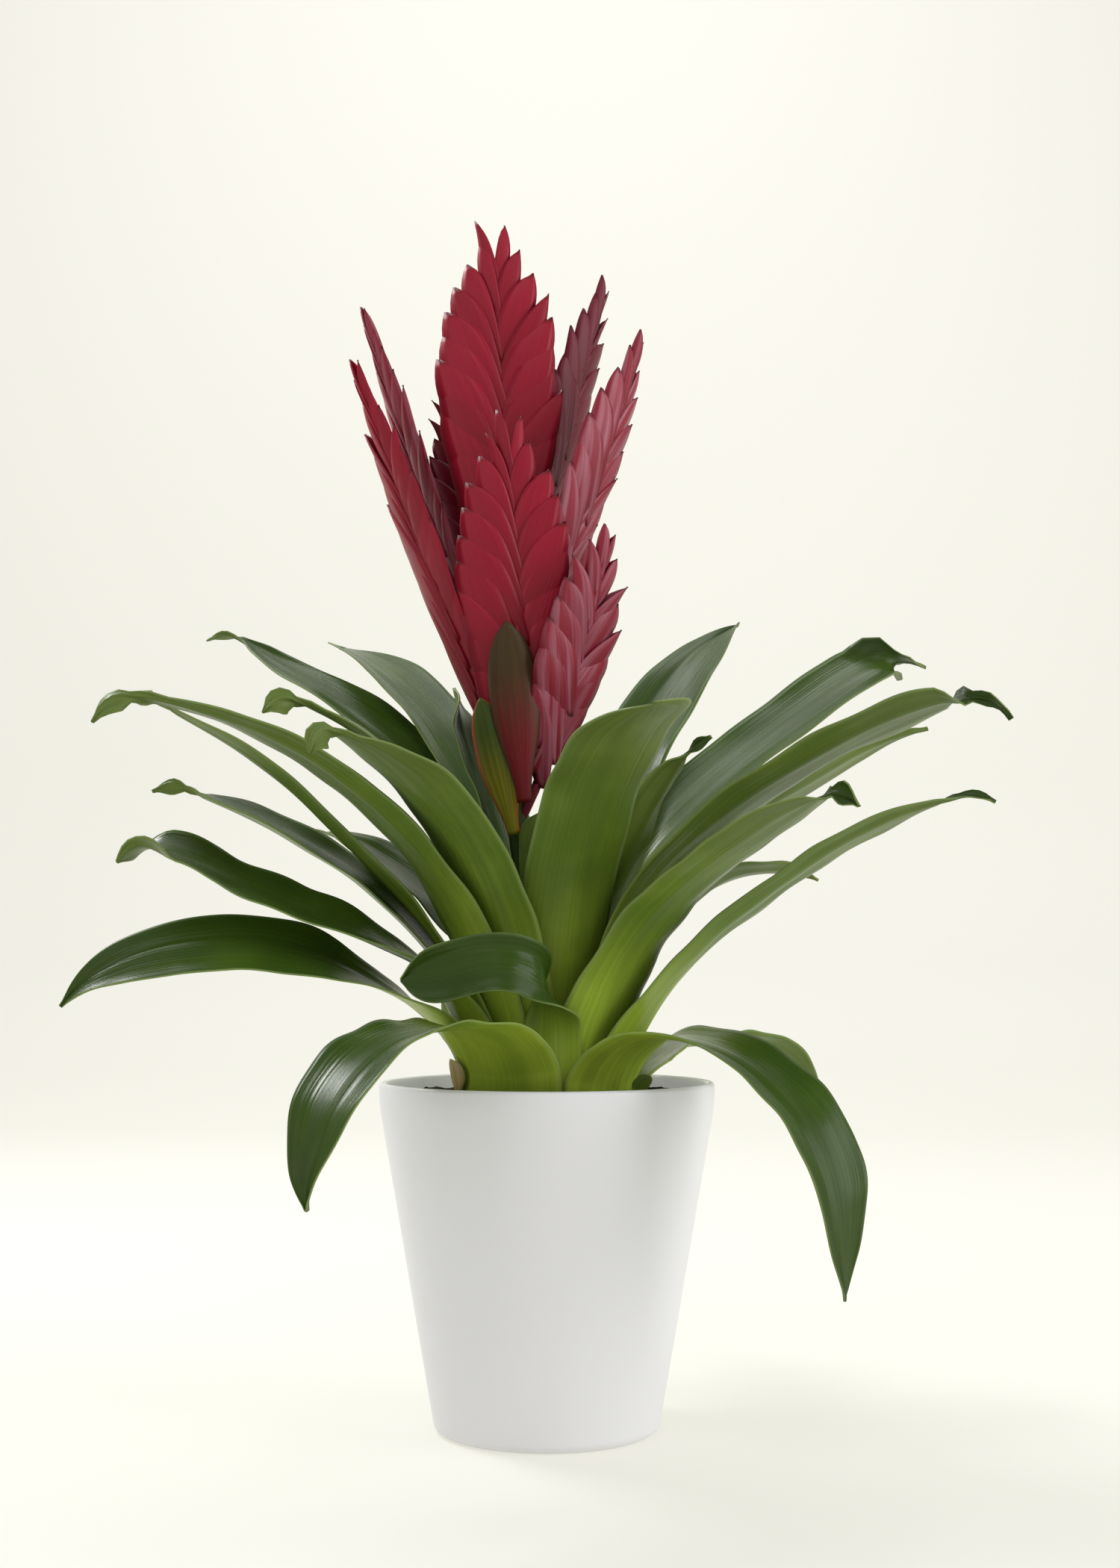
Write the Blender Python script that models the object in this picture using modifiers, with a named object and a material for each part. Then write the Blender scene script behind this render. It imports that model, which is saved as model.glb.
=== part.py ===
"""A potted bromeliad: a white glazed pot, potting soil, a rosette of strap leaves and a red branched flower.

Run with: blender --background --python part.py
Units are metres. +Z is up, and the origin is the centre of the pot's underside.
Azimuths are in degrees about +Z: 0 is +X (right), 90 is +Y (back), 180 is left and 270 is front.
"""

import math
from collections import namedtuple

import bmesh
import bpy
from mathutils import Matrix, Vector

MM = 0.001

# Driving dimensions
POT_HEIGHT = 152 * MM
POT_RIM_RADIUS = 75 * MM
POT_BASE_RADIUS = 49.5 * MM
POT_WALL = 3.5 * MM
POT_BAND = 10 * MM
POT_FLOOR = 5 * MM
SOIL_TOP = 145 * MM
SOIL_GAP = 0.5 * MM
LEAF_THICKNESS = 1.2 * MM
SPIKE_THICKNESS = 6 * MM
SPIKE_EDGE = 0.8 * MM
STEM_RADIUS = 4.5 * MM
TURN_STEPS = 48

# A leaf's pitch is its angle above the horizontal at these shares of its length.
PITCH_STATIONS = (0.0, 0.2, 0.4, 0.6, 0.8, 1.0)
PITCH_SMOOTHING = 0.07
LEAF_ROWS = 14
LEAF_COLUMNS = 4
BRACT_ROWS = 6
SPIKE_TEETH = 9
SPIKE_SAW = 0.18

Leaf = namedtuple(
    "Leaf",
    "name azimuth radius height length width pitch curl turn roll clasp",
    defaults=(0, 0, 0, 50),
)
# azimuth, curl, turn, roll and clasp are degrees; radius, height, length and width are millimetres.
# radius is how far from the axis the leaf's base stands: the larger it is, the further out the leaf nests.
# curl bends the tip down, turn swings the blade to one side along its length, roll tips its width,
# and clasp is half the angle that the leaf's base wraps round the plant.
LEAVES = (
    Leaf("leaf_front_left_drooping", 240, 40, 153.5, 183, 38, (79, 3, -3, -22, -53, -89), 20, clasp=40),
    Leaf(
        "leaf_front_right_drooping", 322, 38.5, 148.5, 193, 36,
        (83, 1, -24, -48, -85, -89), roll=11, clasp=42,
    ),
    Leaf("leaf_back_outer", 93, 39, 148.5, 182, 38, (74, 31, 12, -6, -31, -62), 10, roll=-41),
    Leaf("leaf_back_right_drooping", 35, 39.5, 146.5, 141, 36, (56, 15, 1, -5, -43, -54), 15, roll=-9),
    Leaf("leaf_left_low", 200, 35.5, 146, 213, 33, (85, 32, 25, 1, -13, -43), 10, roll=-46, clasp=42),
    Leaf(
        "leaf_front_folded", 273, 36.5, 146, 122, 25,
        (90, 85, 48, 11, -23, 0), turn=-94, roll=-85, clasp=22,
    ),
    Leaf("leaf_left_second", 200, 33.5, 146.5, 209, 38, (88, 59, 22, 20, 28, -4), 45, roll=-28, clasp=45),
    Leaf("leaf_right_low", 344, 34, 146, 223, 38, (79, 54, 37, 34, 23, 20), 50, roll=-6),
    Leaf("leaf_back_left_low", 108, 35.5, 149.5, 147, 38, (81, 44, 14, -9, -41, -48), 20, roll=-4),
    Leaf("leaf_left_third", 177, 31.5, 147, 221, 38, (86, 67, 44, 31, 25, 18), 40, roll=-12),
    Leaf("leaf_front_right_broad", 316, 32.5, 149, 204, 40, (87, 67, 41, 27, 28, 8), 60, clasp=55),
    Leaf("leaf_back_right_low", 74, 31, 146, 189, 38, (81, 66, 42, 19, 13, -22), 20, roll=-7),
    Leaf("leaf_left_fourth", 184, 29.5, 150.5, 254, 40, (89, 62, 43, 46, 28, 38), 60, roll=4),
    Leaf("leaf_right_hidden", 10, 29.5, 152.5, 155, 36, (81, 77, 52, 43, 7, -16), 10, roll=-9),
    Leaf("leaf_left_long", 213, 26, 146, 282, 40, (86, 70, 46, 30, 16, -5), 55, roll=-4),
    Leaf("leaf_right_long", 341, 26, 148.5, 278, 42, (80, 81, 39, 31, 21, 9), 70, roll=-10, clasp=55),
    Leaf("leaf_back", 105, 26.5, 149, 228, 40, (88, 73, 47, 32, 10, -32), 20, roll=-22),
    Leaf("leaf_front_left", 236, 24, 149.5, 228, 42, (82, 78, 55, 36, 19, -5), 60, roll=-7, clasp=55),
    Leaf("leaf_right_dark", 16, 24.5, 153.5, 252, 38, (85, 78, 38, 26, 33, 14), roll=-25),
    Leaf("leaf_back_left", 152, 21.5, 150, 184, 40, (82, 76, 51, 32, 29, -17), 20, roll=-7),
    Leaf("leaf_front_upright", 285, 20, 151, 229, 44, (89, 76, 57, 36, 20, 4), roll=7, clasp=60),
    Leaf("leaf_right_high", 28, 22.5, 156, 306, 42, (84, 79, 41, 33, 35, 9), 35, roll=20),
    Leaf("leaf_left_high", 148, 19.5, 152, 317, 40, (84, 86, 51, 33, 27, 37), 50, roll=-12),
    Leaf("leaf_front_left_high", 220, 17.5, 152, 236, 40, (86, 85, 61, 34, 28, 0), 45, roll=-26, clasp=55),
    Leaf("leaf_right_upright", 319, 13, 150.5, 179, 38, (86, 88, 63, 54, 53, 19), roll=5),
    Leaf("leaf_back_left_upright", 131, 14.5, 146, 287, 42, (87, 87, 61, 50, 30, 26), 10, clasp=55),
    Leaf("leaf_back_right_upright", 57, 18, 154.5, 306, 38, (91, 81, 51, 45, 36, 22), roll=12, clasp=55),
    Leaf("leaf_inner_left", 157, 11.5, 154, 183, 30, (88, 84, 83, 76, 67, 79), roll=-8, clasp=60),
    Leaf("leaf_inner_front", 267, 10.5, 155, 118, 26, (92, 88, 85, 86, 84, 80), clasp=49),
)

Spike = namedtuple("Spike", "name foot tip width facing")
# foot and tip are (x, y, z) and width is across the widest bracts, in millimetres.
# facing is the azimuth of the flat side.
SPIKES = (
    Spike("flower_spike_top", (-19, 0, 376), (-25, 6, 549), 57, 268),
    Spike("flower_spike_front", (-12, -10, 292), (-17, -24, 450), 51, 268),
    Spike("flower_spike_left_high", (-24, 7, 325), (-87, 16, 513), 32, 199),
    Spike("flower_spike_left_low", (-22, 0, 300), (-88, -9, 478), 36, 206),
    Spike("flower_spike_left_back", (-24, 11, 360), (-50, 34, 474), 34, 121),
    Spike("flower_spike_right_back", (-11, 11, 388), (27, 30, 530), 34, 328),
    Spike("flower_spike_right_high", (-7, -3, 352), (44, -4, 493), 33, 323),
    Spike("flower_spike_right_low", (-7, 9, 318), (20, 17, 410), 34, 318),
    Spike("flower_spike_front_right", (-4, -5, 284), (28, -22, 398), 42, 312),
    Spike("flower_spike_back", (-14, 14, 312), (-6, 45, 436), 40, 90),
)

Bract = namedtuple("Bract", "name foot tip width facing bend part")
# A small boat-shaped leaf; bend is half the angle its cross-section turns through, in degrees.
BRACTS = (
    Bract("bract_front", (-10, -19, 276), (-18, -28, 356), 25, 268, 50, "bract"),
    Bract("bract_left", (-15, -12, 262), (-30, -17, 323), 22, 252, 50, "bract"),
    Bract("offset_shoot", (-15, -37, 160), (-18, -39, 178), 7, 250, 55, "leaf"),
    Bract("leaf_stub", (37, -28, 146), (45, -31, 156), 9, 300, 60, "leaf"),
    Bract("old_sheath", (-39, -21, 146), (-42, -24, 163), 12, 215, 50, "dry"),
)

# The flower stem leans to the left: (x, y, z) in millimetres.
STEM_ROUTE = ((0, 0, 147), (-5, 0, 202), (-13, 0, 262), (-16, 0, 317), (-19, 0, 373))


def clear_scene():
    for obj in list(bpy.data.objects):
        bpy.data.objects.remove(obj, do_unlink=True)


def new_material(name, colour, roughness):
    made = bpy.data.materials.new(name)
    made.use_nodes = True
    shader = made.node_tree.nodes["Principled BSDF"]
    shader.inputs["Base Color"].default_value = (*colour, 1)
    shader.inputs["Roughness"].default_value = roughness
    return made


def new_object(name, data, material, collection):
    obj = bpy.data.objects.new(name, data)
    obj.data.materials.append(material)
    collection.objects.link(obj)
    return obj


def turned(name, profile, material, collection):
    """A solid turned about Z from (radius, height) points that run down its outer side."""
    shape = bmesh.new()
    points = [shape.verts.new((radius, 0, height)) for radius, height in profile]
    for first, second in zip(points, points[1:]):
        shape.edges.new((first, second))
    mesh = bpy.data.meshes.new(name)
    shape.to_mesh(mesh)
    shape.free()
    obj = new_object(name, mesh, material, collection)
    screw = obj.modifiers.new("turn", "SCREW")
    screw.steps = TURN_STEPS
    screw.render_steps = TURN_STEPS
    screw.use_merge_vertices = True
    screw.merge_threshold = 0.00005
    screw.use_smooth_shade = True
    return obj


def wall_radius(height):
    """The pot's outer radius: straight and tapering up to the band below the rim, then upright."""
    share = min(height / (POT_HEIGHT - POT_BAND), 1.0)
    return POT_BASE_RADIUS + (POT_RIM_RADIUS - POT_BASE_RADIUS) * share


def make_pot(material, collection):
    rounding = 4 * MM
    lip = 1.2 * MM
    inner_rim = POT_RIM_RADIUS - POT_WALL
    profile = (
        (0, POT_FLOOR),
        (wall_radius(POT_FLOOR) - POT_WALL, POT_FLOOR),
        (inner_rim, POT_HEIGHT - POT_BAND),
        (inner_rim, POT_HEIGHT - lip),
        (inner_rim + lip, POT_HEIGHT),
        (POT_RIM_RADIUS - lip, POT_HEIGHT),
        (POT_RIM_RADIUS, POT_HEIGHT - lip),
        (POT_RIM_RADIUS, POT_HEIGHT - POT_BAND),
        (wall_radius(rounding), rounding),
        (wall_radius(0) - 0.3 * rounding, 0.3 * rounding),
        (wall_radius(0) - rounding, 0),
        (0, 0),
    )
    return turned("pot", profile, material, collection)


def make_soil(material, collection):
    bottom = POT_FLOOR + SOIL_GAP
    low_radius = wall_radius(bottom) - POT_WALL - 2 * SOIL_GAP
    top_radius = POT_RIM_RADIUS - POT_WALL - 2 * SOIL_GAP
    bend = POT_HEIGHT - POT_BAND
    profile = ((0, SOIL_TOP), (top_radius, SOIL_TOP), (top_radius, bend), (low_radius, bottom), (0, bottom))
    return turned("potting_soil", profile, material, collection)


def smooth_step(share):
    share = min(max(share, 0.0), 1.0)
    return share * share * (3 - 2 * share)


def pitch_at(leaf, share):
    """The leaf's angle above the horizontal, read between its stations and averaged over a short stretch."""
    total = 0.0
    samples = 7
    last = len(PITCH_STATIONS) - 1
    for k in range(samples):
        offset = PITCH_SMOOTHING * (2 * k / (samples - 1) - 1)
        place = min(max(share + offset, 0.0), 1.0) * last
        index = min(int(place), last - 1)
        total += leaf.pitch[index] + (leaf.pitch[index + 1] - leaf.pitch[index]) * (place - index)
    return total / samples - leaf.curl * smooth_step((share - 0.9) / 0.1)


def leaf_spine(leaf, rows):
    """(point, tangent, side, normal) at each row; the normal is on the leaf's upper face."""
    azimuth = math.radians(leaf.azimuth)
    point = Vector((leaf.radius * math.cos(azimuth), leaf.radius * math.sin(azimuth), leaf.height)) * MM
    fine = 12
    step = leaf.length * MM / (rows * fine)
    frames = []
    for k in range(rows * fine + 1):
        share = k / (rows * fine)
        pitch = math.radians(pitch_at(leaf, share))
        heading = azimuth + math.radians(leaf.turn) * smooth_step((share - 0.2) / 0.6)
        out = Vector((math.cos(heading), math.sin(heading), 0))
        tangent = out * math.cos(pitch) + Vector((0, 0, math.sin(pitch)))
        side = Vector((-math.sin(heading), math.cos(heading), 0))
        normal = tangent.cross(side)
        twist = Matrix.Rotation(math.radians(leaf.roll) * smooth_step((share - 0.15) / 0.4), 3, tangent)
        if k % fine == 0:
            frames.append((point.copy(), tangent, twist @ side, twist @ normal))
        point = point + tangent * step
    return frames


def leaf_half_width(leaf, share):
    """Wide where the base clasps the plant, even along the blade, and drawn to a point at the tip."""
    blade = leaf.width / 2 * MM
    base = math.radians(leaf.clasp) * leaf.radius * MM
    body = base + (blade - base) * smooth_step(share / 0.35)
    tip = max(1 - max((share - 0.62) / 0.38, 0.0) ** 2.2, 0.0)
    return max(body * tip, 0.6 * MM)


def leaf_bend(point, tangent, half_width):
    """Half the angle of the leaf's cross-section: round the plant at the base, then a shallow channel."""
    reach = max(math.hypot(point.x, point.y), 5 * MM)
    around = half_width * max(tangent.z, 0.0) / reach
    return min(max(around, 0.35), 1.5)


def leaf_object(name, shape, material, collection):
    """An object from a one-sided leaf surface, given the leaf's thickness."""
    mesh = bpy.data.meshes.new(name)
    shape.to_mesh(mesh)
    shape.free()
    mesh.shade_smooth()
    obj = new_object(name, mesh, material, collection)
    solid = obj.modifiers.new("thickness", "SOLIDIFY")
    solid.thickness = LEAF_THICKNESS
    solid.offset = 0
    return obj


def make_leaf(leaf, material, collection):
    frames = leaf_spine(leaf, LEAF_ROWS)
    shape = bmesh.new()
    grid = bmesh.ops.create_grid(shape, x_segments=LEAF_ROWS, y_segments=LEAF_COLUMNS, size=1)
    for vertex in grid["verts"]:
        row = round((vertex.co.x + 1) / 2 * LEAF_ROWS)
        across = vertex.co.y
        point, tangent, side, normal = frames[row]
        half_width = leaf_half_width(leaf, row / LEAF_ROWS)
        bend = leaf_bend(point, tangent, half_width)
        swing = side * math.sin(bend * across) + normal * (1 - math.cos(bend * across))
        vertex.co = point + swing * (half_width / bend)
    return leaf_object(leaf.name, shape, material, collection)


def spike_edge(share, teeth, phase):
    """Half-width, from 0 to 1, of a spike's saw-toothed edge."""
    outline = math.sin(math.pi * share**1.5) ** 0.7 if 0 < share < 1 else 0
    saw = (share * teeth + phase) % 1
    return outline * (1 - SPIKE_SAW + SPIKE_SAW * saw)


def pose(item):
    """(foot, length, tangent, side, normal) of a spike or bract."""
    foot, tip = Vector(item.foot) * MM, Vector(item.tip) * MM
    tangent = (tip - foot).normalized()
    facing = math.radians(item.facing)
    out = Vector((math.cos(facing), math.sin(facing), 0))
    normal = (out - tangent * out.dot(tangent)).normalized()
    return foot, (tip - foot).length, tangent, tangent.cross(normal), normal


def spike_rings(spike):
    """Six-point sections up a spike: a thin lens, with a row of bract tips along each edge."""
    foot, length, tangent, side, normal = pose(spike)
    rows = 2 * SPIKE_TEETH
    rings = []
    for row in range(rows + 1):
        share = 0.02 + 0.96 * row / rows
        centre = foot + tangent * length * share
        thick = max(SPIKE_THICKNESS / 2 * math.sin(math.pi * share) ** 0.5, SPIKE_EDGE)
        left, right = (
            max(spike.width / 2 * MM * spike_edge(share, SPIKE_TEETH, phase), 2 * MM) for phase in (0, 0.5)
        )
        section = (
            side * right,
            side * right * 0.45 + normal * thick,
            side * left * -0.45 + normal * thick,
            side * -left,
            side * left * -0.45 - normal * thick,
            side * right * 0.45 - normal * thick,
        )
        rings.append([centre + offset for offset in section])
    return rings


def make_spike(spike, material, collection):
    shape = bmesh.new()
    rings = [[shape.verts.new(place) for place in ring] for ring in spike_rings(spike)]
    for low, high in zip(rings, rings[1:]):
        for k in range(len(low)):
            after = (k + 1) % len(low)
            shape.faces.new((low[k], low[after], high[after], high[k]))
    shape.faces.new(list(reversed(rings[0])))
    shape.faces.new(rings[-1])
    bmesh.ops.recalc_face_normals(shape, faces=shape.faces)
    mesh = bpy.data.meshes.new(spike.name)
    shape.to_mesh(mesh)
    shape.free()
    return new_object(spike.name, mesh, material, collection)


def make_bract(bract, material, collection):
    foot, length, tangent, side, normal = pose(bract)
    shape = bmesh.new()
    grid = bmesh.ops.create_grid(shape, x_segments=BRACT_ROWS, y_segments=LEAF_COLUMNS, size=1)
    bend = math.radians(bract.bend)
    for vertex in grid["verts"]:
        share = (vertex.co.x + 1) / 2
        half_width = bract.width / 2 * MM * (0.4 + 0.6 * smooth_step(share / 0.6)) * max(1 - share**6, 0.06)
        angle = bend * vertex.co.y
        swing = side * math.sin(angle) - normal * (1 - math.cos(angle))
        vertex.co = foot + tangent * length * share + swing * (half_width / bend)
    return leaf_object(bract.name, shape, material, collection)


def make_stem(material, collection):
    curve = bpy.data.curves.new("flower_stem", "CURVE")
    curve.dimensions = "3D"
    curve.bevel_depth = STEM_RADIUS
    curve.bevel_resolution = 2
    curve.use_fill_caps = True
    spline = curve.splines.new("POLY")
    spline.points.add(len(STEM_ROUTE) - 1)
    for point, place in zip(spline.points, STEM_ROUTE):
        point.co = (*(value * MM for value in place), 1)
    return new_object("flower_stem", curve, material, collection)


def main():
    clear_scene()
    plant = bpy.data.collections.new("potted_bromeliad")
    bpy.context.scene.collection.children.link(plant)
    glaze = new_material("white_glaze", (0.80, 0.80, 0.78), 0.25)
    soil = new_material("potting_soil", (0.03, 0.02, 0.015), 0.95)
    green = new_material("leaf_green", (0.07, 0.13, 0.02), 0.4)
    red = new_material("bract_red", (0.25, 0.01, 0.025), 0.45)
    flushed = new_material("bract_green_red", (0.10, 0.05, 0.02), 0.45)
    dry = new_material("dry_sheath", (0.35, 0.25, 0.10), 0.7)
    make_pot(glaze, plant)
    make_soil(soil, plant)
    for leaf in LEAVES:
        make_leaf(leaf, green, plant)
    make_stem(green, plant)
    for spike in SPIKES:
        make_spike(spike, red, plant)
    for bract in BRACTS:
        make_bract(bract, {"bract": flushed, "leaf": green, "dry": dry}[bract.part], plant)


main()
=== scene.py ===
"""The looks of the potted bromeliad: leaves, flower spikes, pot, soil, stage, lights and camera.

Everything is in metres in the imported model's frame: +Z is up, and the origin is the centre of the pot's
underside.
Azimuths are in degrees about +Z: 0 is +X (right), 90 is +Y (back), 180 is left and 270 is front.
"""

import math
import random
from collections import namedtuple

import bmesh
import bpy
from mathutils import Matrix, Vector, noise


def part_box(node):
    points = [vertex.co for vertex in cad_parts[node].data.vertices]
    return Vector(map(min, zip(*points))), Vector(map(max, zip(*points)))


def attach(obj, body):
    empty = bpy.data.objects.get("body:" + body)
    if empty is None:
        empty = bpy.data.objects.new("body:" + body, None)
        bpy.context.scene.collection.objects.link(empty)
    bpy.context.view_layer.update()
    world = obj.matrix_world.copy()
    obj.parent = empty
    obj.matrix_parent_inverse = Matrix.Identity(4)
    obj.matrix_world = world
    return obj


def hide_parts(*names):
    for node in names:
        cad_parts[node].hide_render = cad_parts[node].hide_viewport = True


MM = 0.001

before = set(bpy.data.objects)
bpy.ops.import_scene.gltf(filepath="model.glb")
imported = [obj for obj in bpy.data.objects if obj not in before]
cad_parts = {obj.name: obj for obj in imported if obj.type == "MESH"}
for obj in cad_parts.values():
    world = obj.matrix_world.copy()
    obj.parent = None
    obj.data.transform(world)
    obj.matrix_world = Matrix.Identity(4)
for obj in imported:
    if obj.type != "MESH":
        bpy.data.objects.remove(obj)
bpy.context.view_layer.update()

# The same plant as in the CAD model, with the same meanings: degrees and millimetres.
# Most numbers in LEAVES and SPIKES came from fitting scripts and were then rounded.
PITCH_STATIONS = (0.0, 0.2, 0.4, 0.6, 0.8, 1.0)
PITCH_SMOOTHING = 0.07
Leaf = namedtuple(
    "Leaf",
    "name azimuth radius height length width pitch curl turn roll clasp",
    defaults=(0, 0, 0, 50),
)
LEAVES = (
    Leaf("leaf_front_left_drooping", 240, 40, 153.5, 183, 38, (79, 3, -3, -22, -53, -89), 20, clasp=40),
    Leaf(
        "leaf_front_right_drooping", 322, 38.5, 148.5, 193, 36,
        (83, 1, -24, -48, -85, -89), roll=11, clasp=42,
    ),
    Leaf("leaf_back_outer", 93, 39, 148.5, 182, 38, (74, 31, 12, -6, -31, -62), 10, roll=-41),
    Leaf("leaf_back_right_drooping", 35, 39.5, 146.5, 141, 36, (56, 15, 1, -5, -43, -54), 15, roll=-9),
    Leaf("leaf_left_low", 200, 35.5, 146, 213, 33, (85, 32, 25, 1, -13, -43), 10, roll=-46, clasp=42),
    Leaf(
        "leaf_front_folded", 273, 36.5, 146, 122, 25,
        (90, 85, 48, 11, -23, 0), turn=-94, roll=-85, clasp=22,
    ),
    Leaf("leaf_left_second", 200, 33.5, 146.5, 209, 38, (88, 59, 22, 20, 28, -4), 45, roll=-28, clasp=45),
    Leaf("leaf_right_low", 344, 34, 146, 223, 38, (79, 54, 37, 34, 23, 20), 50, roll=-6),
    Leaf("leaf_back_left_low", 108, 35.5, 149.5, 147, 38, (81, 44, 14, -9, -41, -48), 20, roll=-4),
    Leaf("leaf_left_third", 177, 31.5, 147, 221, 38, (86, 67, 44, 31, 25, 18), 40, roll=-12),
    Leaf("leaf_front_right_broad", 316, 32.5, 149, 204, 40, (87, 67, 41, 27, 28, 8), 60, clasp=55),
    Leaf("leaf_back_right_low", 74, 31, 146, 189, 38, (81, 66, 42, 19, 13, -22), 20, roll=-7),
    Leaf("leaf_left_fourth", 184, 29.5, 150.5, 254, 40, (89, 62, 43, 46, 28, 38), 60, roll=4),
    Leaf("leaf_right_hidden", 10, 29.5, 152.5, 155, 36, (81, 77, 52, 43, 7, -16), 10, roll=-9),
    Leaf("leaf_left_long", 213, 26, 146, 282, 40, (86, 70, 46, 30, 16, -5), 55, roll=-4),
    Leaf("leaf_right_long", 341, 26, 148.5, 278, 42, (80, 81, 39, 31, 21, 9), 70, roll=-10, clasp=55),
    Leaf("leaf_back", 105, 26.5, 149, 228, 40, (88, 73, 47, 32, 10, -32), 20, roll=-22),
    Leaf("leaf_front_left", 236, 24, 149.5, 228, 42, (82, 78, 55, 36, 19, -5), 60, roll=-7, clasp=55),
    Leaf("leaf_right_dark", 16, 24.5, 153.5, 252, 38, (85, 78, 38, 26, 33, 14), roll=-25),
    Leaf("leaf_back_left", 152, 21.5, 150, 184, 40, (82, 76, 51, 32, 29, -17), 20, roll=-7),
    Leaf("leaf_front_upright", 285, 20, 151, 229, 44, (89, 76, 57, 36, 20, 4), roll=7, clasp=60),
    Leaf("leaf_right_high", 28, 22.5, 156, 306, 42, (84, 79, 41, 33, 35, 9), 35, roll=20),
    Leaf("leaf_left_high", 148, 19.5, 152, 317, 40, (84, 86, 51, 33, 27, 37), 50, roll=-12),
    Leaf("leaf_front_left_high", 220, 17.5, 152, 236, 40, (86, 85, 61, 34, 28, 0), 45, roll=-26, clasp=55),
    Leaf("leaf_right_upright", 319, 13, 150.5, 179, 38, (86, 88, 63, 54, 53, 19), roll=5),
    Leaf("leaf_back_left_upright", 131, 14.5, 146, 287, 42, (87, 87, 61, 50, 30, 26), 10, clasp=55),
    Leaf("leaf_back_right_upright", 57, 18, 154.5, 306, 38, (91, 81, 51, 45, 36, 22), roll=12, clasp=55),
    Leaf("leaf_inner_left", 157, 11.5, 154, 183, 30, (88, 84, 83, 76, 67, 79), roll=-8, clasp=60),
    Leaf("leaf_inner_front", 267, 10.5, 155, 118, 26, (92, 88, 85, 86, 84, 80), clasp=49),
)
Spike = namedtuple("Spike", "name foot tip width facing")
SPIKES = (
    Spike("flower_spike_top", (-19, 0, 376), (-25, 6, 549), 57, 268),
    Spike("flower_spike_front", (-12, -10, 292), (-17, -24, 450), 51, 268),
    Spike("flower_spike_left_high", (-24, 7, 325), (-87, 16, 513), 32, 199),
    Spike("flower_spike_left_low", (-22, 0, 300), (-88, -9, 478), 36, 206),
    Spike("flower_spike_left_back", (-24, 11, 360), (-50, 34, 474), 34, 121),
    Spike("flower_spike_right_back", (-11, 11, 388), (27, 30, 530), 34, 328),
    Spike("flower_spike_right_high", (-7, -3, 352), (44, -4, 493), 33, 323),
    Spike("flower_spike_right_low", (-7, 9, 318), (20, 17, 410), 34, 318),
    Spike("flower_spike_front_right", (-4, -5, 284), (28, -22, 398), 42, 312),
    Spike("flower_spike_back", (-14, 14, 312), (-6, 45, 436), 40, 90),
)
Bract = namedtuple("Bract", "name foot tip width facing bend part")
BRACTS = (
    Bract("bract_front", (-10, -19, 276), (-18, -28, 356), 25, 268, 50, "bract"),
    Bract("bract_left", (-15, -12, 262), (-30, -17, 323), 22, 252, 50, "bract"),
    Bract("offset_shoot", (-15, -37, 160), (-18, -39, 178), 7, 250, 55, "leaf"),
    Bract("leaf_stub", (37, -28, 146), (45, -31, 156), 9, 300, 60, "leaf"),
    Bract("old_sheath", (-39, -21, 146), (-42, -24, 163), 12, 215, 50, "dry"),
)
# How a leaf ends: flag is the half-width of the small curled blade past its neck, and twist is how far the
# end turns. The leaf narrows from start, more bluntly the higher power is. Slant makes that start later on
# one side and earlier on the other.
Tip = namedtuple("Tip", "flag twist start power slant", defaults=(0, 0, 0.62, 2.2, 0))
PLAIN_TIP = Tip()
TIPS = {
    "leaf_left_fourth": Tip(5, 150),
    "leaf_left_long": Tip(5, 140),
    "leaf_left_third": Tip(4, 120),
    "leaf_left_high": Tip(3, 70),
    "leaf_left_second": Tip(0, 60, 0.8, 3),
    "leaf_left_low": Tip(0, 0, 0.68, 2),
    "leaf_front_left": Tip(6, 130),
    "leaf_front_left_high": Tip(6, 140),
    "leaf_front_upright": Tip(0, 0, 0.78, 3, 0.12),
    "leaf_front_folded": Tip(0, 0, 0.78, 4),
    "leaf_front_right_broad": Tip(5, 100, 0.7, 3),
    "leaf_back_left_upright": Tip(0, 0, 0.86, 4, 0.06),
    "leaf_right_high": Tip(5, 170, 0.84, 4),
    "leaf_right_long": Tip(4, 190, 0.78, 3),
    "leaf_right_low": Tip(2, 60),
    "leaf_right_upright": Tip(3, 80, 0.6, 2),
    "leaf_inner_left": Tip(0, 30, 0.8, 4),
    "leaf_inner_front": Tip(0, 0, 0.84, 4),
}
FLAG_START = 0.935

CHANCE_SEED = 11

# Leaves
LEAF_ROWS = 84
LEAF_COLUMNS = 18
SPINE_STEPS_PER_ROW = 2
PITCH_SAMPLES = 7
LEAF_THICKNESS = 0.75 * MM
THINNEST_HALF_WIDTH = 0.5 * MM
RIPPLE = 2.4 * MM
CREASE = 0.9 * MM
CREASE_SPREAD = 0.13
ROOTED_DEPTH = 140 * MM

# Flower
SPIKE_BRACTS = 9
SPIKE_BRACTS_LENGTH = 160
FEWEST_BRACTS = 8
BRACT_ROWS = 14
BRACT_COLUMNS = 10
BRACT_THICKNESS = 0.5 * MM
SINGLE_BRACT_ROWS = 36
SINGLE_BRACT_COLUMNS = 14
BARB_SHARE = 0.22
# Pink of a painted sheen, and the spikes whose red carries it: reflections of the lights painted into the
# colour.
PAINTED_SHEEN_COLOUR = (0.42, 0.17, 0.22)
PAINTED_SHEEN_SPIKES = ("flower_spike_front_right", "flower_spike_right_high", "flower_spike_left_high")
# Spikes at the back, whose red is painted darker as painted shade.
PAINTED_SHADE_SPIKES = ("flower_spike_right_back", "flower_spike_left_back")
STEM_ROUTE = ((0, 0, 147), (-5, 0, 202), (-13, 0, 262), (-16, 0, 317), (-19, 0, 373))
STALK_DROP = 16
STALK_ROWS = 14
STALK_SIDES = 10
STALK_RADIUS = 2.8 * MM
STALK_SHADE = (0.2, 0.3, 0.4, 1)

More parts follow.
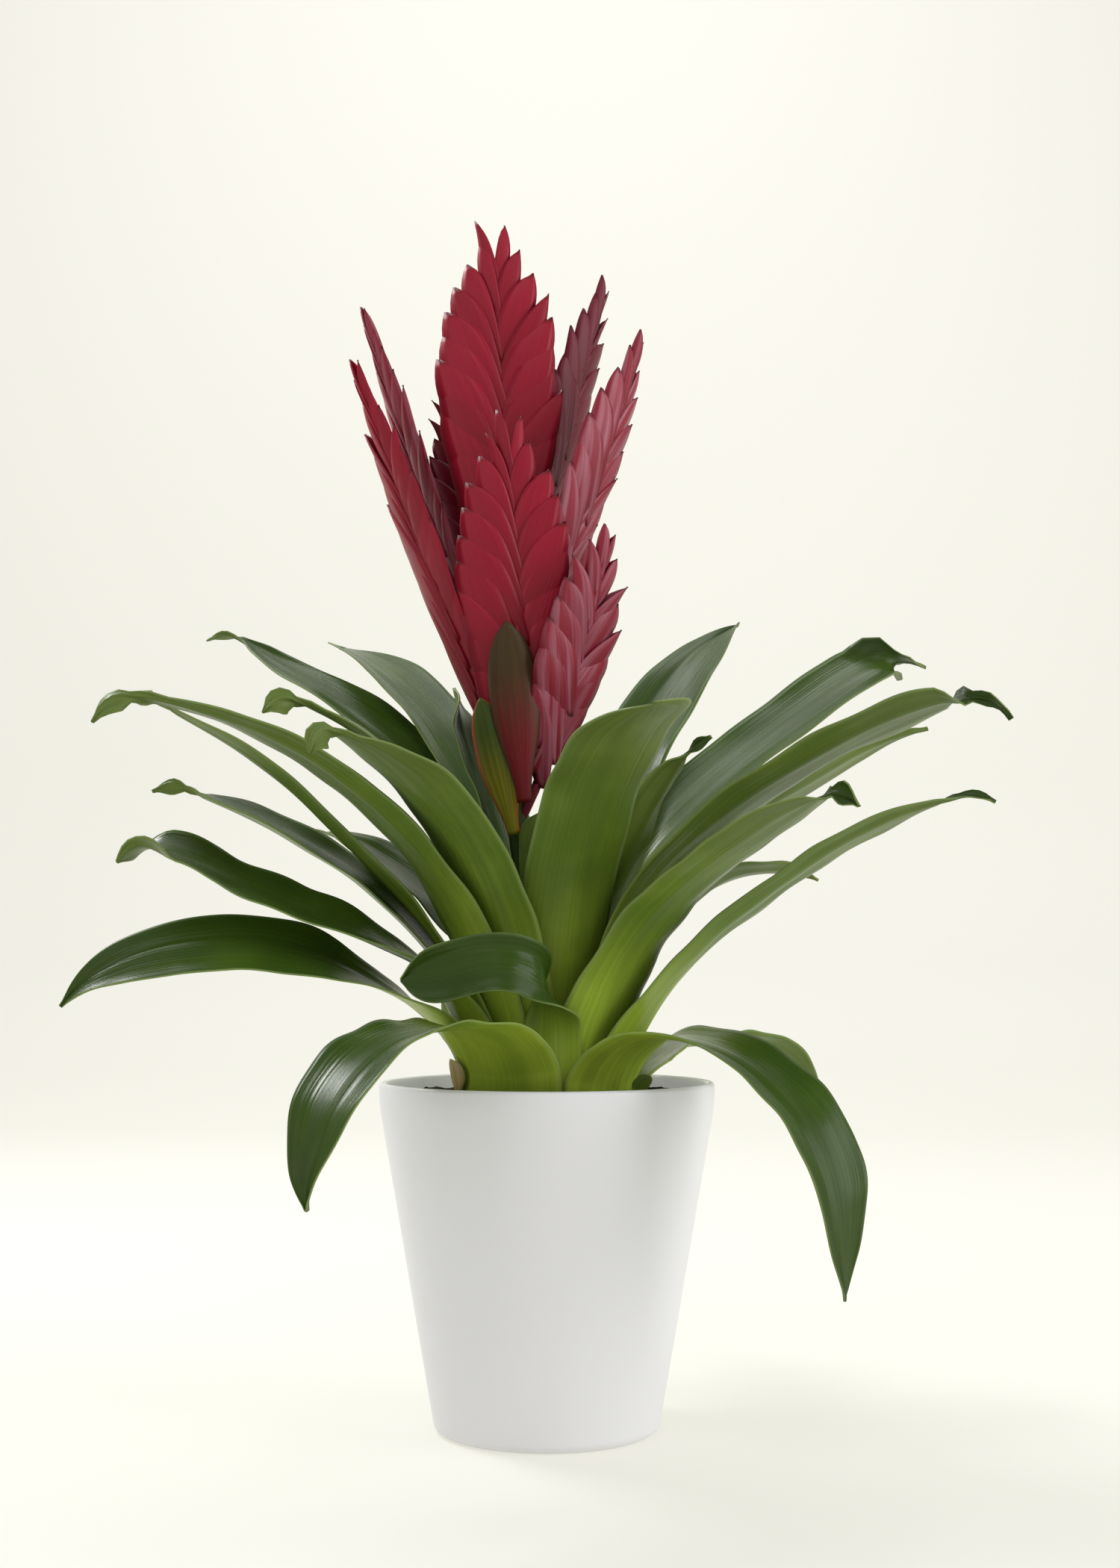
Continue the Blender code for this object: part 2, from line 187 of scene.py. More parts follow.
# Pot and soil
POT_WALL = 3.5 * MM
POT_BAND = 10 * MM
POT_LIP = 1.7 * MM
POT_FOOT_RADIUS = 49.5 * MM
POT_FOOT_ROUND = 5 * MM
POT_FLOOR = 5 * MM
POT_STEPS = 144
# Glow of the glaze at the top of the pot's inner wall: painted light, in place of the light that the leaves
# keep off it.
INSIDE_GLOW = 0.22
SOIL_BOTTOM_RADIUS = 47 * MM
SOIL_AROUND = 120
SOIL_CUTS = 40
CRUMBS = 260

# Stage and camera
STAGE_HALF_WIDTH = 3.5
STAGE_PROFILE = ((-2.5, 0), (1.6, 0), (1.9, 0.05), (2.15, 0.2), (2.3, 0.5), (2.3, 3.2))
STAGE_GLOW = 0.56
WORLD_GLOW = 0.3
CAMERA_SPOT = (0.0058, -0.9, 0.205)
CAMERA_AIM = (0.0058, 0, 0.286)
CAMERA_LENS = 45.6
CAMERA_SENSOR = 36


# ---------------------------------------------------------------- materials


class Paint:
    """A material's node tree, with short calls for the nodes used here."""

    def __init__(self, name, roughness, specular=0.5):
        self.material = bpy.data.materials.new(name)
        self.material.use_nodes = True
        self.tree = self.material.node_tree
        self.shader = self.tree.nodes["Principled BSDF"]
        self.shader.inputs["Roughness"].default_value = roughness
        self.shader.inputs["Specular IOR Level"].default_value = specular

    def node(self, kind, **inputs):
        made = self.tree.nodes.new(kind)
        for name, value in inputs.items():
            self.feed(made.inputs[name.replace("_", " ")], value)
        return made

    def feed(self, socket, value):
        if isinstance(value, bpy.types.NodeSocket):
            self.tree.links.new(value, socket)
        else:
            socket.default_value = value

    def ramp(self, value, low, high, start=0.0, end=1.0):
        """value from low..high becomes start..end, smoothly and clamped."""
        made = self.tree.nodes.new("ShaderNodeMapRange")
        made.interpolation_type = "SMOOTHSTEP"
        for socket, number in zip(made.inputs, (value, low, high, start, end)):
            self.feed(socket, number)
        return made.outputs["Result"]

    def mix(self, share, first, second, blend="MIX"):
        made = self.tree.nodes.new("ShaderNodeMix")
        made.data_type = "RGBA"
        made.blend_type = blend
        self.feed(made.inputs["Factor"], share)
        for socket, colour in zip((made.inputs[6], made.inputs[7]), (first, second)):
            self.feed(socket, colour if isinstance(colour, bpy.types.NodeSocket) else (*colour, 1))
        return made.outputs[2]

    def shade(self):
        """The mesh's own marks: share of the length, distance from the middle, and tone."""
        source = self.tree.nodes.new("ShaderNodeAttribute")
        source.attribute_name = "shade"
        parts = self.node("ShaderNodeSeparateColor", Color=source.outputs["Color"])
        return parts.outputs[0], parts.outputs[1], parts.outputs[2]

    def streaks(self, across, along, detail=3.0):
        """Noise drawn out along the leaf: scales are per metre across it and along it."""
        place = self.tree.nodes.new("ShaderNodeUVMap")
        place.uv_map = "span"
        stretched = self.node("ShaderNodeMapping", Vector=place.outputs["UV"], Scale=(across, along, 1))
        grain = self.node("ShaderNodeTexNoise", Vector=stretched.outputs[0], Scale=1.0, Detail=detail)
        return grain.outputs["Fac"]

    def speckle(self, scale, detail=4.0):
        place = self.tree.nodes.new("ShaderNodeTexCoord")
        grain = self.node("ShaderNodeTexNoise", Vector=place.outputs["Object"], Scale=scale, Detail=detail)
        return grain.outputs["Fac"]

    def bump(self, height, strength, distance):
        made = self.node("ShaderNodeBump", Height=height, Strength=strength, Distance=distance)
        self.feed(self.shader.inputs["Normal"], made.outputs[0])

    def colour(self, value):
        self.feed(self.shader.inputs["Base Color"], value)

    def roughness(self, value):
        self.feed(self.shader.inputs["Roughness"], value)


def leaf_paint(name, sheath, blade, tip, margin, roughness, streak):
    """Yellow-green at the clasping base, green along the blade, with lengthwise veins and a paler margin."""
    paint = Paint(name, roughness, 0.17)
    along, middle, tone = paint.shade()
    colour = paint.mix(paint.ramp(along, 0.10, 0.44), sheath, blade)
    colour = paint.mix(paint.ramp(along, 0.45, 0.95), colour, tip)
    veins = paint.streaks(900, 6)
    broad = paint.streaks(120, 9, 2.0)
    dark = paint.mix(1.0, colour, (0.62, 0.66, 0.55), "MULTIPLY")
    colour = paint.mix(paint.ramp(veins, 0.35, 0.68, streak, 0.0), colour, dark)
    colour = paint.mix(paint.ramp(broad, 0.42, 0.7, 0.0, 0.55), colour, dark)
    colour = paint.mix(paint.ramp(tone, 0.0, 1.0, 0.75, 0.0), colour, dark)
    pale = paint.mix(1.0, colour, (1.45, 1.35, 1.3), "MULTIPLY")
    colour = paint.mix(paint.ramp(paint.speckle(22, 3.0), 0.45, 0.75, 0.0, 0.8), colour, pale)
    colour = paint.mix(paint.ramp(middle, 0.9, 1.0, 0.0, 0.55), colour, margin)
    paint.colour(colour)
    paint.roughness(paint.ramp(broad, 0.3, 0.7, roughness - 0.07, roughness + 0.1))
    paint.bump(veins, 0.35, 0.0006)
    return paint.material


def bract_paint(name, deep, bright, margin, roughness, painted_sheen=0.0):
    """Waxy bract: deep in its middle, brighter outwards, with a fine pale margin and a dark tip, and where
    asked streaks of painted pink sheen.
    """
    paint = Paint(name, roughness, 0.22)
    along, middle, tone = paint.shade()
    colour = paint.mix(paint.ramp(along, 0.1, 0.8), deep, bright)
    veins = paint.streaks(800, 8)
    darker = paint.mix(1.0, colour, (0.6, 0.5, 0.55), "MULTIPLY")
    # Streaks of painted sheen: pink reflections of the lights painted into the colour.
    if painted_sheen:
        colour = paint.mix(paint.ramp(paint.streaks(160, 14, 2.0), 0.42, 0.66, 0.0, painted_sheen), colour, PAINTED_SHEEN_COLOUR)
    colour = paint.mix(paint.ramp(veins, 0.35, 0.7, 0.35, 0.0), colour, darker)
    colour = paint.mix(paint.ramp(tone, 0.0, 1.0, 0.5, 0.0), colour, darker)
    colour = paint.mix(paint.ramp(middle, 0.93, 1.0, 0.0, 0.35), colour, margin)
    colour = paint.mix(paint.ramp(along, 0.93, 1.0, 0.0, 0.7), colour, (0.05, 0.012, 0.01))
    paint.colour(colour)
    paint.shader.inputs["Sheen Weight"].default_value = 0.04
    paint.shader.inputs["Sheen Roughness"].default_value = 0.4
    paint.shader.inputs["Sheen Tint"].default_value = (1.0, 0.8, 0.85, 1)
    paint.bump(veins, 0.3, 0.0005)
    return paint.material


def glaze_paint(name, glow):
    # glow sets the emission strength; above 0 it is painted light, as on the pot's inner wall.
    paint = Paint(name, 0.34, 0.4)
    paint.shader.inputs["Emission Strength"].default_value = glow
    cloud = paint.speckle(9, 2.0)
    paint.colour(paint.mix(paint.ramp(cloud, 0.2, 0.8), (0.70, 0.70, 0.72), (0.72, 0.72, 0.74)))
    return paint.material


def soil_paint():
    paint = Paint("potting_soil", 0.95, 0.2)
    grain = paint.speckle(420, 6.0)
    colour = paint.mix(paint.ramp(grain, 0.35, 0.6), (0.006, 0.004, 0.003), (0.035, 0.022, 0.014))
    colour = paint.mix(paint.ramp(paint.speckle(260), 0.66, 0.72), colour, (0.12, 0.085, 0.05))
    paint.colour(colour)
    paint.bump(grain, 0.9, 0.003)
    return paint.material


def flushed_paint(name, low, high, margin):
    """A bract that shades from one colour at its base to another at its tip, with its own margin colour."""
    paint = Paint(name, 0.42, 0.15)
    along, middle, _ = paint.shade()
    veins = paint.streaks(700, 10)
    colour = paint.mix(paint.ramp(along, 0.25, 0.8), low, high)
    colour = paint.mix(paint.ramp(veins, 0.35, 0.7, 0.4, 0.0), colour, (0.04, 0.02, 0.01))
    colour = paint.mix(paint.ramp(middle, 0.55, 0.95, 0.0, 0.75), colour, margin)
    paint.colour(colour)
    paint.bump(veins, 0.3, 0.0005)
    return paint.material


def make_paints():
    upper = dict(sheath=(0.20, 0.28, 0.015), blade=(0.038, 0.078, 0.008), tip=(0.038, 0.070, 0.010))
    under = dict(sheath=(0.34, 0.46, 0.045), blade=(0.110, 0.178, 0.020), tip=(0.120, 0.170, 0.036))
    stem = dict(sheath=(0.05, 0.09, 0.02), blade=(0.06, 0.10, 0.02), tip=(0.12, 0.05, 0.03))
    dry = dict(sheath=(0.25, 0.22, 0.06), blade=(0.42, 0.33, 0.14), tip=(0.45, 0.36, 0.2))
    red = dict(deep=(0.215, 0.004, 0.014), bright=(0.305, 0.006, 0.024), margin=(0.33, 0.022, 0.045))
    # A paler red with streaks of painted sheen, for the spikes that catch the lights.
    painted_sheen_red = dict(deep=(0.19, 0.006, 0.018), bright=(0.28, 0.018, 0.037), margin=(0.36, 0.06, 0.09))
    # A darker red as painted shade, for the spikes at the back.
    painted_shade_red = dict(deep=(0.10, 0.004, 0.012), bright=(0.150, 0.007, 0.020), margin=(0.30, 0.05, 0.08))
    flushed = dict(low=(0.20, 0.010, 0.018), high=(0.065, 0.040, 0.014), margin=(0.060, 0.035, 0.012))
    sunset = dict(low=(0.26, 0.24, 0.015), high=(0.06, 0.10, 0.015), margin=(0.34, 0.04, 0.012))
    return {
        "upper": leaf_paint("leaf_upper", **upper, margin=(0.10, 0.15, 0.05), roughness=0.27, streak=0.5),
        "under": leaf_paint("leaf_under", **under, margin=(0.20, 0.27, 0.09), roughness=0.36, streak=0.45),
        "stem": leaf_paint("stem_green", **stem, margin=(0.1, 0.1, 0.05), roughness=0.5, streak=0.4),
        "dry": leaf_paint("dry_sheath", **dry, margin=(0.5, 0.42, 0.25), roughness=0.75, streak=0.8),
        "red": bract_paint("bract_red", **red, roughness=0.4),
        "painted_sheen": bract_paint("bract_painted_sheen", **painted_sheen_red, roughness=0.34, painted_sheen=0.75),
        "painted_shade_red": bract_paint("bract_painted_shade", **painted_shade_red, roughness=0.36),
        "glaze": glaze_paint("white_glaze", 0),
        "glaze_inside_painted_light": glaze_paint("white_glaze_inside_painted_light", INSIDE_GLOW),
        "soil": soil_paint(),
        "flushed": flushed_paint("bract_flushed", **flushed),
        "sunset": flushed_paint("bract_sunset", **sunset),
    }


# ---------------------------------------------------------------- shapes


def smooth_step(share):
    share = min(max(share, 0.0), 1.0)
    return share * share * (3 - 2 * share)


def sheet_mesh(name, rows, columns, place, marks):
    """A one-sided grid: place(row share, across) is a point, and marks gives (tone, span across, span along).

    Its "shade" attribute holds share of the length, distance from the middle and tone, and its UV map "span"
    holds metres across and along, so that grain keeps its scale.
    """
    shape = bmesh.new()
    shade = shape.verts.layers.float_color.new("shade")
    span = shape.loops.layers.uv.new("span")
    tone, width, length = marks
    grid = bmesh.ops.create_grid(shape, x_segments=rows, y_segments=columns, size=1)
    spots = {}
    for vertex in grid["verts"]:
        share, across = (vertex.co.x + 1) / 2, vertex.co.y
        spots[vertex] = (across * width, share * length + tone)
        vertex[shade] = (share, abs(across), tone, 1)
        vertex.co = place(share, across)
    for face in shape.faces:
        face.smooth = True
        for loop in face.loops:
            loop[span].uv = spots[loop.vert]
    mesh = bpy.data.meshes.new(name)
    shape.to_mesh(mesh)
    shape.free()
    return mesh


def add_piece(name, mesh, materials, slot, node, thickness=None):
    """An object for a mesh that replaces one CAD node, with the leaf's thickness where it is a sheet."""
    piece = bpy.data.objects.new(name, mesh)
    for material in materials:
        mesh.materials.append(material)
    bpy.context.scene.collection.objects.link(piece)
    if thickness:
        solid = piece.modifiers.new("thickness", "SOLIDIFY")
        solid.thickness = thickness
        solid.offset = 0
        solid.material_offset = len(materials) - 1
        solid.material_offset_rim = len(materials) - 1
    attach(piece, "root")
    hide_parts(node)
    return piece


# ---------------------------------------------------------------- leaves


def pitch_at(leaf, share):
    """The leaf's angle above the horizontal, read between its stations and averaged over a short stretch."""
    total = 0.0
    last = len(PITCH_STATIONS) - 1
    for k in range(PITCH_SAMPLES):
        offset = PITCH_SMOOTHING * (2 * k / (PITCH_SAMPLES - 1) - 1)
        place = min(max(share + offset, 0.0), 1.0) * last
        index = min(int(place), last - 1)
        total += leaf.pitch[index] + (leaf.pitch[index + 1] - leaf.pitch[index]) * (place - index)
    return total / PITCH_SAMPLES - leaf.curl * smooth_step((share - 0.9) / 0.1)


def leaf_spine(leaf, tip):
    """(point, tangent, side, normal) at each row; the normal is on the leaf's upper face."""
    azimuth = math.radians(leaf.azimuth)
    point = Vector((leaf.radius * math.cos(azimuth), leaf.radius * math.sin(azimuth), leaf.height)) * MM
    steps = LEAF_ROWS * SPINE_STEPS_PER_ROW
    step = leaf.length * MM / steps
    frames = []
    for k in range(steps + 1):
        share = k / steps
        pitch = math.radians(pitch_at(leaf, share))
        heading = azimuth + math.radians(leaf.turn) * smooth_step((share - 0.2) / 0.6)
        out = Vector((math.cos(heading), math.sin(heading), 0))
        tangent = out * math.cos(pitch) + Vector((0, 0, math.sin(pitch)))
        side = Vector((-math.sin(heading), math.cos(heading), 0))
        normal = tangent.cross(side)
        roll = leaf.roll * smooth_step((share - 0.15) / 0.4) + tip.twist * smooth_step((share - 0.88) / 0.1)
        twist = Matrix.Rotation(math.radians(roll), 3, tangent)
        if k % SPINE_STEPS_PER_ROW == 0:
            frames.append((point.copy(), tangent, twist @ side, twist @ normal))
        point = point + tangent * step
    return frames


def leaf_half_width(leaf, tip, share, across):
    """Wide where the base clasps the plant, even along the blade, then drawn to a point or a flag."""
    blade = leaf.width / 2 * MM
    base = math.radians(leaf.clasp) * leaf.radius * MM
    body = base + (blade - base) * smooth_step(share / 0.35)
    end = FLAG_START if tip.flag else 1.0
    start = tip.start + math.copysign(tip.slant, across)
    narrowing = max((share - start) / (end - start), 0.0)
    width = body * max(1 - narrowing**tip.power, 0.0)
    if tip.flag and share > FLAG_START - 0.02:
        reach = (share - FLAG_START + 0.02) / (1.02 - FLAG_START)
        width = max(width, tip.flag * MM * math.sin(math.pi * min(reach, 1.0)) ** 1.3)
    return max(width, THINNEST_HALF_WIDTH)


def leaf_bend(point, tangent, half_width):
    """Half the angle of the cross-section: round the plant at the base, a shallow channel beyond."""
    reach = max(math.hypot(point.x, point.y), 5 * MM)
    around = half_width * max(tangent.z, 0.0) / reach
    return min(max(around, 0.35), 1.5)


def make_leaf(leaf, paints, chance):
    tip = TIPS.get(leaf.name, PLAIN_TIP)
    frames = leaf_spine(leaf, tip)
    wave = chance.uniform(0, 20)
    tone = chance.uniform(0.35, 1.0)
    crease = chance.choice((-1, 1)) * chance.uniform(0.25, 0.55)

    def place(share, across):
        row = round(share * LEAF_ROWS)
        point, tangent, side, normal = frames[row]
        half_width = leaf_half_width(leaf, tip, share, across)
        bend = leaf_bend(point, tangent, half_width)
        swing = side * math.sin(bend * across) + normal * (1 - math.cos(bend * across))
        ripple = noise.noise(Vector((share * 9 + wave, across * 0.8, wave))) * smooth_step(share / 0.3)
        fold = math.exp(-(((across - crease) / CREASE_SPREAD) ** 2)) * CREASE
        fold *= smooth_step((share - 0.08) / 0.3)
        spot = point + swing * (half_width / bend) + normal * (ripple * abs(across) * RIPPLE - fold)
        if row == 0:
            spot.z = ROOTED_DEPTH
        return spot

    marks = (tone, leaf.width / 2 * MM, leaf.length * MM)
    mesh = sheet_mesh(leaf.name, LEAF_ROWS, LEAF_COLUMNS, place, marks)
    materials = (paints["upper"], paints["under"])
    add_piece("fine_" + leaf.name, mesh, materials, "leaf_green", leaf.name, LEAF_THICKNESS)


# ---------------------------------------------------------------- flower


def pose(item):
    """(foot, length, tangent, side, normal) of a spike or bract."""
    foot, tip = Vector(item.foot) * MM, Vector(item.tip) * MM
    tangent = (tip - foot).normalized()
    facing = math.radians(item.facing)
    out = Vector((math.cos(facing), math.sin(facing), 0))
    normal = (out - tangent * out.dot(tangent)).normalized()
    return foot, (tip - foot).length, tangent, tangent.cross(normal), normal


def spike_outline(share):
    """Half-width of a spike, from 0 to 1, at a share of its length."""
    return math.sin(math.pi * min(share, 0.995) ** 1.5) ** 0.7


def spike_bract(spike, hand, start, end, chance):
    """place(share, across) for one folded bract of a spike.

    Its keel lies along the spike's edge on one hand, and its two halves lap over the front and back.
    It lifts away from the spike towards its tip, so each bract overlaps the one above it.
    """
    foot, length, tangent, side, normal = pose(spike)
    reach = max(spike.width / 2 * MM * spike_outline(min(end, 0.97)), 2.2 * MM) * chance.uniform(0.95, 1.06)
    barb = chance.random() < BARB_SHARE
    hook = (chance.uniform(0.5, 2.6) if barb else chance.uniform(-3.5, -0.5)) * MM
    fullness = 3 if barb else 9
    lap = chance.uniform(3.0, 9.0) * MM * (1 - 0.7 * start)
    lens = 2.2 * MM * math.sin(math.pi * min(start + 0.1, 1.0)) ** 0.5

    def place(share, across):
        keel = reach * (1 - (1 - share) ** 2.3)
        inner = -lap + (reach + lap) * (0.5 * share**1.4 + 0.5 * share**fullness)
        spread = abs(across)
        out = keel + (inner - keel) * spread + hook * max(share - 0.7, 0.0) ** 2 / 0.09
        depth = (lens + 1.5 * MM * share) * math.sin(spread * math.pi / 2) ** 0.8 * (1 - share**6)
        rise = length * (start + (end - start) * share)
        return foot + tangent * rise + side * hand * out + normal * math.copysign(depth, across)

    return place


def stem_point(height):
    """The middle of the flower stem at a height in millimetres."""
    for low, high in zip(STEM_ROUTE, STEM_ROUTE[1:]):
        if height <= high[2]:
            break
    share = min((height - low[2]) / (high[2] - low[2]), 1.0)
    return Vector(low).lerp(Vector(high), share) * MM


def spike_stalk(shape, shade, spike):
    """The spike's own stalk, from the flower stem up between its bracts."""
    foot, length, tangent, side, normal = pose(spike)
    root = stem_point(spike.foot[2] - STALK_DROP)
    rings = []
    for row in range(STALK_ROWS + 1):
        share = row / STALK_ROWS
        rise = foot + tangent * length * (share * 0.95 - 0.1)
        centre = root.lerp(rise, smooth_step(share / 0.22))
        thick = STALK_RADIUS * (1 - 0.8 * share)
        ring = []
        for k in range(STALK_SIDES):
            angle = math.tau * k / STALK_SIDES
            swing = side * math.cos(angle) + normal * math.sin(angle) * 0.7
            vertex = shape.verts.new(centre + swing * thick)
            vertex[shade] = STALK_SHADE
            ring.append(vertex)
        rings.append(ring)
    for low, high in zip(rings, rings[1:]):
        for k in range(STALK_SIDES):
            after = (k + 1) % STALK_SIDES
            shape.faces.new((low[k], low[after], high[after], high[k]))
    shape.faces.new(list(reversed(rings[0])))
    shape.faces.new(rings[-1])


def make_spike(spike, paints, chance):
    """One mesh for a whole spike: two ranks of bracts that alternate from its foot to its tip."""
    shape = bmesh.new()
    length = (Vector(spike.tip) - Vector(spike.foot)).length
    count = max(round(SPIKE_BRACTS * length / SPIKE_BRACTS_LENGTH), FEWEST_BRACTS)
    parts = []
    for k in range(2 * count + 1):
        share = k / (2 * count)
        start = 0.78 * share
        end = min(start + 0.38 - 0.12 * share, 1.025) - chance.uniform(0, 0.012)
        hand = 1 if k % 2 else -1
        tone = chance.uniform(0.2, 1.0)
        place = spike_bract(spike, hand, start, end, chance)
        marks = (tone, spike.width / 2 * MM, (end - start) * length * MM)
        parts.append(sheet_mesh("bract", BRACT_ROWS, BRACT_COLUMNS, place, marks))
    for part in parts:
        shape.from_mesh(part)
        bpy.data.meshes.remove(part)
    bmesh.ops.solidify(shape, geom=shape.faces[:], thickness=BRACT_THICKNESS)
    spike_stalk(shape, shape.verts.layers.float_color["shade"], spike)
    for face in shape.faces:
        face.smooth = True
    mesh = bpy.data.meshes.new(spike.name)
    shape.to_mesh(mesh)
    shape.free()
    # Spikes that catch the lights take the red with painted sheen, those at the back the red with painted
    # shade.
    finish = "painted_sheen" if spike.name in PAINTED_SHEEN_SPIKES else "painted_shade_red" if spike.name in PAINTED_SHADE_SPIKES else "red"
    add_piece("fine_" + spike.name, mesh, (paints[finish],), "bract_red", spike.name)


def make_bract(bract, paints):
    """A single boat-shaped leaf."""
    foot, length, tangent, side, normal = pose(bract)
    bend = math.radians(bract.bend)

    def place(share, across):
        body = bract.width / 2 * MM * (0.28 + 0.72 * smooth_step(share / 0.55))
        half_width = body * max(1 - share**9, 0.03)
        angle = bend * across
        swing = side * math.sin(angle) - normal * (1 - math.cos(angle))
        return foot + tangent * length * share + swing * (half_width / bend)

    materials, slot = {
        "bract_front": ((paints["flushed"],), "bract_green_red"),
        "bract_left": ((paints["sunset"],), "bract_green_red"),
        "old_sheath": ((paints["dry"],), "dry_sheath"),
    }.get(bract.name, ((paints["under"],), "leaf_green"))
    marks = (0.8, bract.width / 2 * MM, length)
    mesh = sheet_mesh(bract.name, SINGLE_BRACT_ROWS, SINGLE_BRACT_COLUMNS, place, marks)
    add_piece("fine_" + bract.name, mesh, materials, slot, bract.name, LEAF_THICKNESS)


# ---------------------------------------------------------------- pot and soil


def arc(centre, radius, start, end, steps):
    """(radius, height) points round an arc, from angle start to end in degrees."""
    points = []
    for k in range(steps + 1):
        angle = math.radians(start + (end - start) * k / steps)
        points.append((centre[0] + radius * math.cos(angle), centre[1] + radius * math.sin(angle)))
    return points


def turned_mesh(name, profile, steps):
    shape = bmesh.new()
    points = [shape.verts.new((radius, 0, height)) for radius, height in profile]
    edges = [shape.edges.new(pair) for pair in zip(points, points[1:])]
    outline = points + edges
    centre, axis = (0, 0, 0), (0, 0, 1)
    bmesh.ops.spin(shape, geom=outline, axis=axis, cent=centre, angle=math.tau, steps=steps, use_merge=True)
    bmesh.ops.remove_doubles(shape, verts=shape.verts, dist=1e-6)
    bmesh.ops.recalc_face_normals(shape, faces=shape.faces)
    for face in shape.faces:
        face.smooth = True
    mesh = bpy.data.meshes.new(name)
    shape.to_mesh(mesh)
    shape.free()
    return mesh


def make_pot(paints):
    """The CAD pot with a softly rounded lip and foot."""
    _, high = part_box("pot")
    rim, top = high[0], high[2]
    band_foot = top - POT_BAND
    waist = POT_FOOT_RADIUS + (rim - POT_FOOT_RADIUS) * POT_FOOT_ROUND / band_foot
    profile = [(0, POT_FLOOR), (POT_FOOT_RADIUS - 4 * MM, POT_FLOOR)]
    profile += [(rim - POT_WALL, band_foot), (rim - POT_WALL, top - 4 * MM)]
    profile += arc((rim - POT_WALL / 2, top - POT_LIP), POT_WALL / 2, 180, 0, 10)
    profile += [(rim, top - 6 * MM), (rim - 0.1 * MM, band_foot + 1.5 * MM)]
    profile += [(rim - 0.5 * MM, band_foot - 2 * MM)]
    profile += [(waist, POT_FOOT_ROUND)]
    profile += arc((waist - POT_FOOT_ROUND, POT_FOOT_ROUND), POT_FOOT_ROUND, -12, -90, 8)
    profile += [(0, 0)]
    mesh = turned_mesh("pot", profile, POT_STEPS)
    # Faces at the top of the inner wall take the second glaze, which glows as painted light.
    for face in mesh.polygons:
        inside = math.hypot(*face.center.xy) < rim - 0.6 * POT_WALL
        face.material_index = int(inside and face.center.z > band_foot - POT_LIP)
    add_piece("fine_pot", mesh, (paints["glaze"], paints["glaze_inside_painted_light"]), "white_glaze", "pot")


def make_soil(paints, chance):
    """Crumbly soil: a disc of noise lumps with loose crumbs on it."""
    low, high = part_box("potting_soil")
    radius, top, bottom = high[0], high[2], low[2]
    shape = bmesh.new()
    bmesh.ops.create_circle(shape, cap_ends=True, cap_tris=True, segments=SOIL_AROUND, radius=radius)
    spokes = [edge for edge in shape.edges if edge.is_manifold]
    bmesh.ops.subdivide_edges(shape, edges=spokes, cuts=SOIL_CUTS, use_grid_fill=True)
    bmesh.ops.triangulate(shape, faces=shape.faces)
    for vertex in shape.verts:
        lumps = noise.fractal(vertex.co * 260, 1.0, 2.0, 4) * 1.3 + noise.noise(vertex.co * 60) * 1.2
        vertex.co.z = top + (lumps + 1) * MM
    rim = [edge for edge in shape.edges if edge.is_boundary]
    skirt = bmesh.ops.extrude_edge_only(shape, edges=rim)
    for vertex in (item for item in skirt["geom"] if isinstance(item, bmesh.types.BMVert)):
        scale = SOIL_BOTTOM_RADIUS / radius
        vertex.co = Vector((vertex.co.x * scale, vertex.co.y * scale, bottom))
    bmesh.ops.holes_fill(shape, edges=[edge for edge in shape.edges if edge.is_boundary])
    for _ in range(CRUMBS):
        angle, out = chance.uniform(0, math.tau), radius * math.sqrt(chance.uniform(0.1, 0.97))
        size = chance.uniform(0.5, 1.8) * MM
        spot = Vector((out * math.cos(angle), out * math.sin(angle), top + size * 0.5))
        crumb = bmesh.ops.create_icosphere(shape, subdivisions=1, radius=size)
        for vertex in crumb["verts"]:
            vertex.co = spot + vertex.co * chance.uniform(0.6, 1.1)
    bmesh.ops.recalc_face_normals(shape, faces=shape.faces)
    mesh = bpy.data.meshes.new("potting_soil")
    shape.to_mesh(mesh)
    shape.free()
    add_piece("fine_potting_soil", mesh, (paints["soil"],), "potting_soil", "potting_soil")


# ---------------------------------------------------------------- stage


